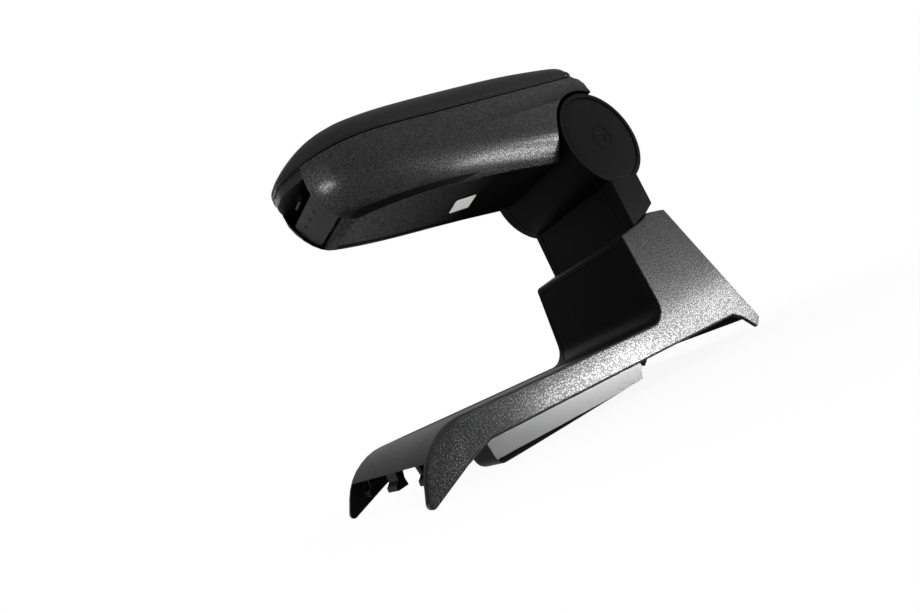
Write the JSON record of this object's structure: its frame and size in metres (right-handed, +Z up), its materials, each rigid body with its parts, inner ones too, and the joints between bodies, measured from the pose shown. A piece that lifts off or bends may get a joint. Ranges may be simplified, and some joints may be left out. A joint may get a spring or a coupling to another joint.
{
  "type": "car centre armrest",
  "caption": "Padded storage armrest for a car's centre console: a tilting box with a hinged lid and a release lever, on a pillar with a saddle-shaped clip-on base.",
  "frame": {"origin": "middle of the four console bolt holes in the foot of the steel bracket, level with the lower edge of the cover's side walls", "axes": "+X to the front of the car, +Y to the left, +Z up; the tilt axis is parallel to Y"},
  "size_m": [0.3831, 0.1518, 0.308],
  "materials": {
    "grained_plastic": "leather grain",
    "panel_plastic": "smooth satin",
    "rail_plastic": "gloss",
    "neck_plastic": "smooth satin",
    "frame_plastic": "smooth satin",
    "liner_plastic": "fine texture",
    "washer_plastic": "smooth",
    "pad_skin": "soft smooth skin over foam",
    "bracket_steel": "black coating",
    "pin_steel": "zinc plated",
    "bush_brass": "plain"
  },
  "bodies": {
    "base": {"base_cover": "grained_plastic", "pillar_front_panel": "panel_plastic", "console_rail_left": "rail_plastic", "console_rail_right": "rail_plastic", "front_hook_centre": "neck_plastic", "front_hook_left": "neck_plastic", "front_hook_right": "neck_plastic", "support_bracket": "bracket_steel", "neck_side_left": "neck_plastic", "neck_side_right": "neck_plastic", "neck_front_panel": "neck_plastic", "neck_rear_panel": "neck_plastic", "end_cap_left": "neck_plastic", "end_cap_right": "neck_plastic", "hinge_axle": "pin_steel", "axle_nut_left": "pin_steel", "axle_nut_right": "pin_steel", "friction_washer_left": "washer_plastic", "friction_washer_right": "washer_plastic"},
    "armrest": {"box_shell": "grained_plastic", "storage_liner": "liner_plastic", "hinge_drum": "neck_plastic", "hinge_bush_left": "bush_brass", "hinge_bush_right": "bush_brass", "lid_pin": "pin_steel", "lever_pin": "pin_steel", "lever_spring": "pin_steel"},
    "lid": {"lid_frame": "frame_plastic", "lid_pad": "pad_skin", "lid_catch": "frame_plastic"},
    "lever": {"release_lever": "frame_plastic"}
  },
  "joints": [
    {"name": "armrest_tilt", "type": "hinge", "parent": "base", "child": "armrest", "pos_m": [0, 0, 0.202], "axis": [0, -1, 0], "range_deg": [0, 95]},
    {"name": "lid_open", "type": "hinge", "parent": "armrest", "child": "lid", "pos_m": [-0.0014, 0, 0.2751], "axis": [0, -1, 0], "range_deg": [0, 78]},
    {"name": "lever_press", "type": "hinge", "parent": "armrest", "child": "lever", "pos_m": [0.266, 0, 0.192], "axis": [0, -1, 0], "range_deg": [0, 5], "stiffness_Nm_per_rad": 0.5}
  ]
}
